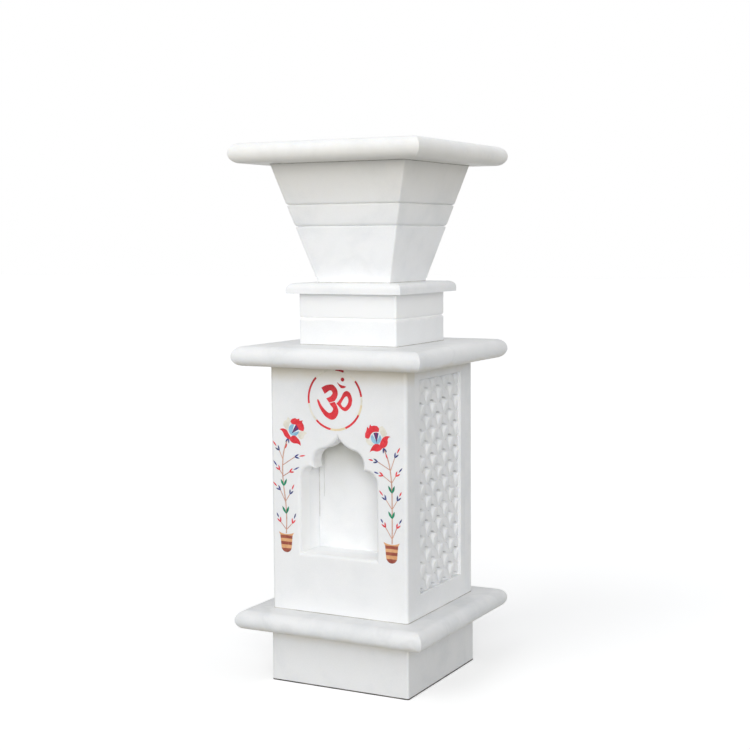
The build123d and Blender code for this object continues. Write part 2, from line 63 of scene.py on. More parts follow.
def set_camera():
    data = bpy.data.cameras.new("camera")
    data.sensor_width = CAMERA_WIDTH
    data.lens = CAMERA_LENS
    data.shift_x, data.shift_y = CAMERA_SHIFT
    data.clip_end = CAMERA_REACH
    camera = bpy.data.objects.new("camera", data)
    camera.matrix_world = (
        Matrix.Translation(CAMERA_PLACE)
        @ Matrix.Rotation(math.radians(CAMERA_TURN), 4, "Z")
        @ Matrix.Rotation(math.radians(90 - CAMERA_DIP), 4, "X")
        @ Matrix.Rotation(math.radians(CAMERA_ROLL), 4, "Z")
    )
    scene.collection.objects.link(camera)
    scene.camera = camera


# ------------------------------------------------------------------ node helpers
def feed(tree, value, socket):
    """Set a socket to a plain number or colour, or link it to another socket."""
    if isinstance(value, (int, float, tuple)):
        socket.default_value = value
    else:
        tree.links.new(value, socket)


def add_math(tree, operation, a, b=None, c=None, clamp=False):
    node = tree.nodes.new("ShaderNodeMath")
    node.operation = operation
    node.use_clamp = clamp
    for socket, value in zip(node.inputs, (a, b, c)):
        if value is not None:
            feed(tree, value, socket)
    return node.outputs[0]


def parts_of(tree, vector):
    node = tree.nodes.new("ShaderNodeSeparateXYZ")
    tree.links.new(vector, node.inputs[0])
    return node.outputs


def add_noise(tree, vector, scale, detail, roughness, distortion=0.0):
    node = tree.nodes.new("ShaderNodeTexNoise")
    tree.links.new(vector, node.inputs["Vector"])
    feed(tree, scale, node.inputs["Scale"])
    node.inputs["Detail"].default_value = detail
    node.inputs["Roughness"].default_value = roughness
    node.inputs["Distortion"].default_value = distortion
    return node.outputs


def add_step(tree, value, low, high, to_low=0.0, to_high=1.0):
    """Smooth step of a value from low to high."""
    node = tree.nodes.new("ShaderNodeMapRange")
    node.interpolation_type = "SMOOTHSTEP"
    labels = ("Value", "From Min", "From Max", "To Min", "To Max")
    for label, given in zip(labels, (value, low, high, to_low, to_high)):
        feed(tree, given, node.inputs[label])
    return node.outputs["Result"]


def add_mix(tree, factor, a, b):
    """Colour mix; a and b are sockets or colours."""
    node = tree.nodes.new("ShaderNodeMix")
    node.data_type = "RGBA"
    tree.links.new(factor, node.inputs["Factor"])
    sockets = [socket for socket in node.inputs if socket.type == "RGBA"]
    for socket, value in zip(sockets, (a, b)):
        feed(tree, value, socket)
    return next(socket for socket in node.outputs if socket.type == "RGBA")


def add_shader(tree, kind, **values):
    node = tree.nodes.new(kind)
    for label, value in values.items():
        node.inputs[label].default_value = value
    return node


# ------------------------------------------------------------------ light and floor
SKY_COLOUR = (0.975, 0.985, 1.0, 1.0)
# Strength of the soft light from every side, and what is added straight from the right
SKY_BASE = 0.515
SKY_RIGHT = 0.10
BACKDROP = (1.0, 1.0, 1.0, 1.0)
# Lamps: name, degrees to the right of the front, degrees up, strength
LAMPS = (
    ("soft_key", 28.5, 12.0, 1.57),
    ("high_fill", -14.0, 45.0, 0.66),
)
LAMP_SPREAD = 35.0
FLOOR_REACH = 20.0
# Colour with which the floor throws light back, then the colour and the glow that it shows
FLOOR_BOUNCE = (0.43, 0.43, 0.42, 1.0)
FLOOR_SHOWN = (0.88, 0.88, 0.88, 1.0)
FLOOR_GLOW = 0.36


def sky_strength(tree):
    """Base strength, with more in proportion to how far a ray leans to the right."""
    direction = tree.nodes.new("ShaderNodeTexCoord").outputs["Generated"]
    lean = add_math(tree, "MAXIMUM", parts_of(tree, direction)["X"], 0.0, clamp=True)
    return add_math(tree, "MULTIPLY_ADD", lean, SKY_RIGHT, SKY_BASE)


def show_apart(tree, lighting, shown, end):
    """Light the scene with one shader, and show another to the camera and in reflections."""
    rays = tree.nodes.new("ShaderNodeLightPath").outputs
    mix = tree.nodes.new("ShaderNodeMixShader")
    seen = add_math(tree, "MAXIMUM", rays["Is Camera Ray"], rays["Is Glossy Ray"])
    tree.links.new(seen, mix.inputs["Fac"])
    tree.links.new(lighting.outputs[0], mix.inputs[1])
    tree.links.new(shown.outputs[0], mix.inputs[2])
    tree.links.new(mix.outputs[0], end.inputs["Surface"])


def set_light():
    world = bpy.data.worlds.new("studio")
    world.use_nodes = True
    tree = world.node_tree
    tree.nodes.clear()
    around = add_shader(tree, "ShaderNodeBackground", Color=SKY_COLOUR)
    tree.links.new(sky_strength(tree), around.inputs["Strength"])
    white = add_shader(tree, "ShaderNodeBackground", Color=BACKDROP, Strength=1.0)
    show_apart(tree, around, white, tree.nodes.new("ShaderNodeOutputWorld"))
    scene.world = world

    for name, azimuth, height, strength in LAMPS:
        data = bpy.data.lights.new(name, "SUN")
        data.energy = strength
        data.angle = math.radians(LAMP_SPREAD)
        lamp = bpy.data.objects.new(name, data)
        tipped = Matrix.Rotation(math.radians(90 - height), 4, "X")
        lamp.matrix_world = Matrix.Rotation(math.radians(azimuth), 4, "Z") @ tipped
        scene.collection.objects.link(lamp)


def set_floor():
    mesh = bpy.data.meshes.new("floor")
    corners = ((-1, -1), (1, -1), (1, 1), (-1, 1))
    mesh.from_pydata([(x * FLOOR_REACH, y * FLOOR_REACH, 0) for x, y in corners], [], [(0, 1, 2, 3)])
    floor = bpy.data.objects.new("floor", mesh)
    scene.collection.objects.link(floor)
    material = bpy.data.materials.new("pale_floor")
    material.use_nodes = True
    tree = material.node_tree
    tree.nodes.remove(tree.nodes["Principled BSDF"])
    ground = add_shader(tree, "ShaderNodeBsdfDiffuse", Color=FLOOR_BOUNCE)
    paper = add_shader(tree, "ShaderNodeBsdfDiffuse", Color=FLOOR_SHOWN)
    glow = add_shader(tree, "ShaderNodeEmission", Strength=FLOOR_GLOW)
    shown = tree.nodes.new("ShaderNodeAddShader")
    tree.links.new(paper.outputs[0], shown.inputs[0])
    tree.links.new(glow.outputs[0], shown.inputs[1])
    show_apart(tree, ground, shown, tree.nodes["Material Output"])
    mesh.materials.append(material)


scene.view_settings.view_transform = "Standard"
set_camera()
set_light()
set_floor()


# ------------------------------------------------------------------ shared effects
def effect_group(name, inputs, outputs):
    """Empty shader group with its named sockets; returns the tree, its inputs and its outputs."""
    tree = bpy.data.node_groups.new(name, "ShaderNodeTree")
    for label, kind, value in inputs:
        socket = tree.interface.new_socket(name=label, in_out="INPUT", socket_type=kind)
        if value is not None:
            socket.default_value = value
    for label, kind in outputs:
        tree.interface.new_socket(name=label, in_out="OUTPUT", socket_type=kind)
    given = tree.nodes.new("NodeGroupInput").outputs
    return tree, given, tree.nodes.new("NodeGroupOutput").inputs


def marble_figure_group():
    """Clouds, soft streaks and hair veins of white marble."""
    tree, given, made = effect_group(
        "marble_figure",
        (
            ("Vector", "NodeSocketVector", None),
            ("Body", "NodeSocketColor", (0.80, 0.80, 0.79, 1.0)),
            ("Cloud", "NodeSocketColor", (0.72, 0.73, 0.73, 1.0)),
            ("Vein", "NodeSocketColor", (0.60, 0.62, 0.63, 1.0)),
            ("Bend", "NodeSocketVector", (0.07, 0.07, 0.07)),
            ("Cloud Scale", "NodeSocketFloat", 14.0),
            ("Cloud Amount", "NodeSocketFloat", 0.8),
            ("Vein Scale", "NodeSocketFloat", 9.0),
            ("Vein Width", "NodeSocketFloat", 0.045),
            ("Vein Amount", "NodeSocketFloat", 0.3),
        ),
        (("Color", "NodeSocketColor"),),
    )
    place = given["Vector"]
    drift = add_noise(tree, place, scale=5.0, detail=2.0, roughness=0.5)
    bend = tree.nodes.new("ShaderNodeVectorMath")
    bend.operation = "MULTIPLY_ADD"
    tree.links.new(drift["Color"], bend.inputs[0])
    tree.links.new(given["Bend"], bend.inputs[1])
    tree.links.new(place, bend.inputs[2])
    bent = bend.outputs["Vector"]

    cloud = add_noise(tree, bent, given["Cloud Scale"], detail=5.0, roughness=0.62)
    cloud_mask = add_step(tree, cloud["Fac"], low=0.40, high=0.70)
    cloud_mask = add_math(tree, "MULTIPLY", cloud_mask, given["Cloud Amount"])

    line = add_noise(tree, bent, given["Vein Scale"], detail=4.0, roughness=0.55, distortion=0.6)
    ridge = add_math(tree, "ABSOLUTE", add_math(tree, "SUBTRACT", line["Fac"], 0.5))
    vein_mask = add_step(tree, ridge, 0.0, given["Vein Width"], to_low=1.0, to_high=0.0)
    patch = add_noise(tree, place, scale=6.0, detail=2.0, roughness=0.5)
    patch_mask = add_step(tree, patch["Fac"], low=0.48, high=0.66)
    vein_mask = add_math(tree, "MULTIPLY", vein_mask, patch_mask)
    vein_mask = add_math(tree, "MULTIPLY", vein_mask, given["Vein Amount"])

    clouded = add_mix(tree, cloud_mask, given["Body"], given["Cloud"])
    veined = add_mix(tree, vein_mask, clouded, given["Vein"])
    grain = add_noise(tree, place, scale=900.0, detail=2.0, roughness=0.6)
    speck = add_step(tree, grain["Fac"], low=0.3, high=0.7, to_low=0.97)
    shade = tree.nodes.new("ShaderNodeVectorMath")
    shade.operation = "SCALE"
    tree.links.new(veined, shade.inputs[0])
    tree.links.new(speck, shade.inputs["Scale"])
    tree.links.new(shade.outputs["Vector"], made["Color"])
    return tree


def hand_polish_group():
    """Uneven gloss and the very slight waves that hand rubbing leaves."""
    tree, given, made = effect_group(
        "hand_polish",
        (
            ("Vector", "NodeSocketVector", None),
            ("Gloss", "NodeSocketFloat", 0.3),
            ("Unevenness", "NodeSocketFloat", 0.12),
            ("Smear Scale", "NodeSocketFloat", 22.0),
            ("Pit Depth", "NodeSocketFloat", 0.12),
        ),
        (("Roughness", "NodeSocketFloat"), ("Height", "NodeSocketFloat")),
    )
    place = given["Vector"]
    smear = add_noise(tree, place, given["Smear Scale"], detail=4.0, roughness=0.6)
    spread = add_math(tree, "SUBTRACT", smear["Fac"], 0.5)
    spread = add_math(tree, "MULTIPLY", spread, given["Unevenness"])
    tree.links.new(add_math(tree, "ADD", spread, given["Gloss"], clamp=True), made["Roughness"])
    wave = add_noise(tree, place, scale=45.0, detail=3.0, roughness=0.5)
    pits = add_noise(tree, place, scale=420.0, detail=3.0, roughness=0.55)
    pitted = add_math(tree, "MULTIPLY", pits["Fac"], given["Pit Depth"])
    tree.links.new(add_math(tree, "ADD", wave["Fac"], pitted), made["Height"])
    return tree


def inlay_stone_group():
    """Mineral colour that drifts over each cut, with small flecks."""
    tree, given, made = effect_group(
        "inlay_stone",
        (
            ("Vector", "NodeSocketVector", None),
            ("Body", "NodeSocketColor", (0.5, 0.5, 0.5, 1.0)),
            ("Deep", "NodeSocketColor", (0.3, 0.3, 0.3, 1.0)),
            ("Fleck", "NodeSocketColor", (0.8, 0.8, 0.8, 1.0)),
            ("Drift Scale", "NodeSocketFloat", 90.0),
            ("Fleck Amount", "NodeSocketFloat", 0.25),
        ),
        (("Color", "NodeSocketColor"),),
    )
    place = given["Vector"]
    drift = add_noise(tree, place, given["Drift Scale"], detail=4.0, roughness=0.6)
    drift_mask = add_step(tree, drift["Fac"], low=0.38, high=0.68)
    toned = add_mix(tree, drift_mask, given["Body"], given["Deep"])
    fleck = add_noise(tree, place, scale=650.0, detail=2.0, roughness=0.5)
    fleck_mask = add_step(tree, fleck["Fac"], low=0.60, high=0.72)
    fleck_mask = add_math(tree, "MULTIPLY", fleck_mask, given["Fleck Amount"])
    tree.links.new(add_mix(tree, fleck_mask, toned, given["Fleck"]), made["Color"])
    return tree


# How far up and down the edge of a band of painted shading strays, in metres
RAGGED_EDGE = 0.012


def ledge_shading_group():
    """Band of painted shade or painted light that sets in between two heights, with a ragged edge."""
    tree, given, made = effect_group(
        "ledge_shading",
        (
            ("Vector", "NodeSocketVector", None),
            ("Color", "NodeSocketColor", (0.9, 0.9, 0.9, 1.0)),
            ("Stain", "NodeSocketColor", (0.74, 0.69, 0.58, 1.0)),
            ("Low", "NodeSocketFloat", 0.0),
            ("High", "NodeSocketFloat", 1.0),
            ("Amount", "NodeSocketFloat", 0.0),
        ),
        (("Color", "NodeSocketColor"),),
    )
    place = given["Vector"]
    ragged = add_noise(tree, place, scale=38.0, detail=3.0, roughness=0.6)
    strayed = add_math(tree, "MULTIPLY", ragged["Fac"], RAGGED_EDGE)
    height = add_math(tree, "ADD", parts_of(tree, place)["Z"], strayed)
    low = add_math(tree, "ADD", given["Low"], RAGGED_EDGE / 2)
    high = add_math(tree, "ADD", given["High"], RAGGED_EDGE / 2)
    mask = add_math(tree, "MULTIPLY", add_step(tree, height, low, high), given["Amount"])
    tree.links.new(add_mix(tree, mask, given["Color"], given["Stain"]), made["Color"])
    return tree


marble_figure = marble_figure_group()
ledge_shading = ledge_shading_group()
hand_polish = hand_polish_group()
inlay_stone = inlay_stone_group()


# ------------------------------------------------------------------ materials
# Tones of the marble at a whiteness of one
MARBLE_TONES = {
    "Body": (0.895, 0.90, 0.902),
    "Cloud": (0.80, 0.815, 0.824),
    "Vein": (0.72, 0.73, 0.735),
}
# Carved stones, the name under which the painted shade strokes of their pockets are stored, and the
# colour of that painted shade
CARVED = ("marble_left_panel", "marble_right_panel")
SHADE_STROKE_ATTRIBUTE = "painted_shade_stroke"
PAINTED_POCKET_SHADE = (0.30, 0.295, 0.29, 1.0)
# Stone with the arch, and where the painted light that whitens its inside sets in: in depth and to the
# side, in metres
OPENED = ("marble_front_panel",)
REVEAL_PAINTED_LIGHT = (0.97, 0.97, 0.965, 1.0)
REVEAL_BEHIND = (-0.1060, -0.1020)
REVEAL_ASIDE = (0.066, 0.064)


def new_material(name):
    material = bpy.data.materials.new(name)
    material.use_nodes = True
    tree = material.node_tree
    return material, tree, tree.nodes["Principled BSDF"]


def object_vector(tree, shift=(0, 0, 0), turn=(0, 0, 0), stretch=(1, 1, 1)):
    """Object coordinates through a Mapping node."""
    coordinates = tree.nodes.new("ShaderNodeTexCoord")
    mapping = tree.nodes.new("ShaderNodeMapping")
    mapping.inputs["Location"].default_value = shift
    mapping.inputs["Rotation"].default_value = turn
    mapping.inputs["Scale"].default_value = stretch
    tree.links.new(coordinates.outputs["Object"], mapping.inputs["Vector"])
    return mapping.outputs["Vector"]


def add_group(tree, group, vector, **values):
    node = tree.nodes.new("ShaderNodeGroup")
    node.node_tree = group
    tree.links.new(vector, node.inputs["Vector"])
    for label, value in values.items():
        feed(tree, value, node.inputs[label.replace("_", " ")])
    return node.outputs


def with_painted_shading(tree, colour, ledge):
    """Colour with a band of painted shading over it; a ledge is None or (start, full, amount, painted
    colour).
    """
    if ledge is None:
        return colour
    low, high, amount, painted_tone = ledge
    place = object_vector(tree)
    return add_group(
        tree, ledge_shading, place, Color=colour, Low=low, High=high, Amount=amount, Stain=painted_tone
    )["Color"]


def finish_surface(tree, shader, colour, roughness, height, bump, **settings):
    """Link colour, roughness and bump (its distance and strength), and set the rest."""
    node = tree.nodes.new("ShaderNodeBump")
    node.inputs["Distance"].default_value, node.inputs["Strength"].default_value = bump
    tree.links.new(height, node.inputs["Height"])
    tree.links.new(node.outputs["Normal"], shader.inputs["Normal"])
    tree.links.new(colour, shader.inputs["Base Color"])
    tree.links.new(roughness, shader.inputs["Roughness"])
    for label, value in settings.items():
        shader.inputs[label.replace("_", " ")].default_value = value


def marble(name, shift, turn, cloud, vein, white, ledge):
    """White marble; each stone of the stack is cut from another part of the block.

    Carved stones get painted shade over their pockets, and the opened one gets painted light in its arch.
    """
    material, tree, shader = new_material(name)
    vector = object_vector(tree, shift, turn)
    tones = {}
    for label, tone in MARBLE_TONES.items():
        tones[label] = tuple(white * part for part in tone) + (1.0,)
    figure = add_group(tree, marble_figure, vector, Cloud_Amount=cloud, Vein_Amount=vein, **tones)
    polish = add_group(tree, hand_polish, vector, Gloss=0.38, Unevenness=0.14)
    # Painted shading between two heights, where the table of heights gives it
    colour = with_painted_shading(tree, figure["Color"], ledge)
    # Painted shade: a dark stroke over each pocket's arched line on the carved flanks
    if name in CARVED:
        painted_shade_stroke = tree.nodes.new("ShaderNodeAttribute")
        painted_shade_stroke.attribute_name = SHADE_STROKE_ATTRIBUTE
        colour = add_mix(tree, painted_shade_stroke.outputs["Fac"], colour, PAINTED_POCKET_SHADE)
    # Painted light: the inside faces of the arch are turned whiter from a few millimetres behind the
    # front face
    if name in OPENED:
        place = parts_of(tree, object_vector(tree))
        behind = add_step(tree, place["Y"], *REVEAL_BEHIND)
        beside = add_step(tree, add_math(tree, "ABSOLUTE", place["X"]), *REVEAL_ASIDE)
        colour = add_mix(tree, add_math(tree, "MULTIPLY", behind, beside), colour, REVEAL_PAINTED_LIGHT)
    finish_surface(
        tree,
        shader,
        colour,
        polish["Roughness"],
        polish["Height"],
        bump=(0.0004, 0.25),
        IOR=1.5,
        Specular_IOR_Level=0.12,
        Subsurface_Weight=0.12,
        Subsurface_Radius=(1.0, 0.85, 0.6),
        Subsurface_Scale=0.006,
    )
    return material


def coloured_stone(name, body, deep, fleck, ledge):
    """Polished cut of coloured stone."""
    material, tree, shader = new_material(name)
    vector = object_vector(tree)
    stone = add_group(tree, inlay_stone, vector, Body=body, Deep=deep, Fleck=fleck)
    polish = add_group(tree, hand_polish, vector, Gloss=0.28, Unevenness=0.1, Smear_Scale=60.0)
    colour = with_painted_shading(tree, stone["Color"], ledge)
    roughness, height = polish["Roughness"], polish["Height"]
    finish_surface(tree, shader, colour, roughness, height, bump=(0.0003, 0.25), Specular_IOR_Level=0.3)
    return material


def cement_and_shade_stone(name, light, dark):
    """Mottled old cement for the joints; the same mottled grey also makes the bands of painted shade at
    the foot and in the niche.
    """
    material, tree, shader = new_material(name)
    vector = object_vector(tree)
    patch = add_noise(tree, vector, scale=60.0, detail=4.0, roughness=0.6)
    grit = add_noise(tree, vector, scale=900.0, detail=2.0, roughness=0.6)["Fac"]
    tone = add_mix(tree, add_step(tree, patch["Fac"], low=0.35, high=0.65), light, dark)
    roughness = add_step(tree, grit, low=0.2, high=0.8, to_low=0.75, to_high=0.95)
    finish_surface(tree, shader, tone, roughness, grit, bump=(0.0002, 0.6), Specular_IOR_Level=0.1)
    return material


def drawn_steel(name):
    """Plain drawn bar."""
    material, tree, shader = new_material(name)
    vector = object_vector(tree, stretch=(1.0, 1.0, 0.05))
    polish = add_group(tree, hand_polish, vector, Gloss=0.38, Unevenness=0.3, Smear_Scale=400.0)
    roughness, height = polish["Roughness"], polish["Height"]
    tone = add_mix(tree, height, (0.42, 0.42, 0.43, 1.0), (0.58, 0.58, 0.58, 1.0))
    finish_surface(tree, shader, tone, roughness, height, bump=(0.0002, 0.4), Metallic=1.0)
    return material


# Each coloured stone's body, its deeper patches and its flecks
COLOURED_STONES = {
    "red_stone": ((0.78, 0.045, 0.062), (0.64, 0.028, 0.04), (0.85, 0.25, 0.22)),
    "navy_stone": ((0.038, 0.047, 0.24), (0.02, 0.03, 0.11), (0.3, 0.3, 0.5)),
    "green_stone": ((0.012, 0.27, 0.14), (0.006, 0.15, 0.085), (0.1, 0.5, 0.3)),
    "stem_stone": ((0.64, 0.38, 0.28), (0.48, 0.24, 0.18), (0.78, 0.6, 0.5)),
    "tan_stone": ((0.76, 0.42, 0.21), (0.64, 0.31, 0.14), (0.8, 0.6, 0.4)),
    "brown_stone": ((0.36, 0.095, 0.06), (0.25, 0.055, 0.04), (0.5, 0.25, 0.15)),
    "cream_stone": ((0.80, 0.77, 0.68), (0.70, 0.67, 0.57), (0.86, 0.84, 0.78)),
    "gold_stone": ((0.82, 0.70, 0.48), (0.75, 0.60, 0.37), (0.86, 0.80, 0.64)),
    "sky_stone": ((0.32, 0.58, 0.74), (0.20, 0.42, 0.60), (0.7, 0.85, 0.9)),
    "purple_stone": ((0.30, 0.03, 0.12), (0.18, 0.015, 0.08), (0.5, 0.2, 0.3)),
}
# Each marble stone's place in the block, its clouds, its veins and its whiteness
MARBLE_CUTS = {
    "plinth_block": ((0.11, 0.27, 0.41), 0.8, 0.20, 0.915),
    "lower_slab": ((0.92, 0.13, 0.66), 0.95, 0.35, 0.93),
    "front_panel": ((0.37, 0.81, 0.05), 0.45, 0.06, 0.96),
    "back_panel": ((0.55, 0.23, 0.71), 0.8, 0.12, 0.98),
    "left_panel": ((0.08, 0.64, 0.32), 0.7, 0.08, 0.965),
    "right_panel": ((0.73, 0.42, 0.18), 0.7, 0.08, 0.97),
    # The niche's floor and cheeks are made whiter than the other stones: painted light inside the niche
    "niche_floor": ((0.25, 0.93, 0.51), 0.4, 0.05, 1.10),
    "niche_ceiling": ((0.61, 0.35, 0.87), 0.6, 0.05, 1.04),
    "niche_left_cheek": ((0.19, 0.56, 0.77), 0.5, 0.05, 1.09),
    "niche_right_cheek": ((0.47, 0.02, 0.29), 0.5, 0.05, 1.09),
    "niche_back": ((0.83, 0.69, 0.44), 0.6, 0.05, 0.955),
    "upper_slab": ((0.31, 0.17, 0.95), 0.7, 0.25, 0.975),
    "neck_block": ((0.68, 0.88, 0.59), 0.3, 0.06, 0.995),
    "collar_slab": ((0.43, 0.51, 0.14), 0.6, 0.06, 1.02),
    "planter_pot": ((0.15, 0.39, 0.83), 0.8, 0.14, 1.055),
    "rim_slab": ((0.79, 0.07, 0.36), 0.8, 0.25, 1.085),
}
# Painted shading: the heights in metres at which one starts and is full, how strong it is, and its
# colour.
# Painted shade lies under the overhangs and at the top of the niche, painted light makes the neck paler
# from its groove up, and painted shade deepens the red of the ring towards its top.
WARM_PAINTED_SHADE = (0.74, 0.69, 0.58, 1.0)
NICHE_PAINTED_SHADE = (0.60, 0.59, 0.51, 1.0)
NECK_PAINTED_LIGHT = (0.955, 0.955, 0.95, 1.0)
RED_PAINTED_SHADE = (0.33, 0.012, 0.018, 1.0)
PAINTED_SHADING = {
    "red_stone": (0.398, 0.446, 0.85, RED_PAINTED_SHADE),
    "plinth_block": (0.056, 0.076, 0.6, WARM_PAINTED_SHADE),
    "lower_slab": (0.086, 0.078, 0.6, WARM_PAINTED_SHADE),
    "front_panel": (0.426, 0.451, 0.9, WARM_PAINTED_SHADE),
    "left_panel": (0.436, 0.452, 0.6, WARM_PAINTED_SHADE),
    "right_panel": (0.436, 0.452, 0.6, WARM_PAINTED_SHADE),
    "back_panel": (0.436, 0.452, 0.6, WARM_PAINTED_SHADE),
    "upper_slab": (0.462, 0.454, 0.6, WARM_PAINTED_SHADE),
    "neck_block": (0.513, 0.519, 0.9, NECK_PAINTED_LIGHT),
    "niche_back": (0.285, 0.350, 0.75, NICHE_PAINTED_SHADE),
    "niche_ceiling": (0.30, 0.34, 0.7, NICHE_PAINTED_SHADE),
    "planter_pot": (0.630, 0.734, 0.42, WARM_PAINTED_SHADE),
    "rim_slab": (0.768, 0.736, 0.45, WARM_PAINTED_SHADE),
}

slot_stones = {}
for stone, tones in COLOURED_STONES.items():
    body, deep, fleck = (tone + (1.0,) for tone in tones)
    slot_stones[stone] = coloured_stone(stone, body, deep, fleck, PAINTED_SHADING.get(stone))
slot_stones["dowel_steel"] = drawn_steel("dowel_steel")
marble_stones = {}
for stone, (shift, cloud, vein, white) in MARBLE_CUTS.items():
    turn = (3 * shift[0], 2 * shift[1], 4 * shift[2])
    finish = marble(f"marble_{stone}", shift, turn, cloud, vein, white, PAINTED_SHADING.get(stone))
    marble_stones[stone] = finish

node_slots = {part["node"]: part["material_slot"] for part in frame["record"]["subparts"]}
for name, node in nodes.items():
    finish = marble_stones.get(name) or slot_stones[node_slots[name]]
    for slot in node.material_slots:
        slot.material = finish


# ------------------------------------------------------------------ making pieces
def plain_mesh(source, name):
    """Final mesh of an object, with its modifiers in it, as a new object at the origin."""
    scene.collection.objects.link(source)
    depsgraph = bpy.context.evaluated_depsgraph_get()
    mesh = bpy.data.meshes.new_from_object(source.evaluated_get(depsgraph))
    mesh.name = name
    piece = bpy.data.objects.new(name, mesh)
    source_data = source.data
    bpy.data.objects.remove(source)
    if isinstance(source_data, bpy.types.Curve):
        bpy.data.curves.remove(source_data)
    scene.collection.objects.link(piece)
    return piece


def worked_object(name, work):
    """New object of a mesh that is done being worked on."""
    mesh = bpy.data.meshes.new(name)
    work.to_mesh(mesh)
    work.free()
    return bpy.data.objects.new(name, mesh)


def close_mesh(piece, flat_angle=30.0):
    """Weld the seams, point every face outwards and smooth the shallow edges."""
    mesh = piece.data
    work = bmesh.new()
    work.from_mesh(mesh)
    bmesh.ops.remove_doubles(work, verts=work.verts, dist=WELD)
    bmesh.ops.dissolve_degenerate(work, edges=work.edges, dist=WELD)
    bmesh.ops.recalc_face_normals(work, faces=work.faces)
    for face in work.faces:
        face.smooth = True
    limit = math.radians(flat_angle)
    for edge in work.edges:
        edge.smooth = edge.is_manifold and edge.calc_face_angle(math.pi) < limit
    work.to_mesh(mesh)
    work.free()
    return piece


def set_piece(piece, finish, slot_name, *replaced):
    """Give a piece its finish and hang it on the part; the slot name is not used."""
    piece.data.materials.clear()
    piece.data.materials.append(finish)
    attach(piece, "root")
    if replaced:
        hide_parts(*replaced)


# ------------------------------------------------------------------ carved flanks
# Undercut line of a pocket, in metres: how far above the middle it stands and how it bends down
ARCH_RISE = 0.0042
ARCH_BEND = 28.0
# Runs of the slope below that line and of the wall above it, and the shallowest share of the depth
LONG_SLOPE = 0.021
STEEP_WALL = 0.0022
SHALLOWEST = 0.13
SIDE_STEEPNESS = 1.1
FLOOR_ROUNDING = 0.0008
LEAF_CROWN = -0.09
# Unevenness left by the chisel: height in metres, and how closely the marks lie
CHISEL_MARKS = 0.0005
CHISEL_SCALE = 260.0
# What chance gives to a pocket's depth and to its stroke: share of the luck, and the least
DEPTH_LUCK = (0.35, 0.8)
STROKE_LUCK = (0.8, 0.35)
# Stroke of painted shade over each pocket's arched line, in metres: rise, half width, half length and
# fading end
STROKE_RISE = 0.0005
STROKE_HALF_WIDTH = 0.0015
STROKE_HALF_LENGTH = 0.0100
STROKE_END = 0.0045
# How fast a stroke sets in from a pocket's rim, and from a millimetre inside the field's edge
RIM_FADE = 900.0
EDGE_FADE = 800.0
EDGE_MARGIN = 0.001
FLANK_FLAT_ANGLE = 40.0


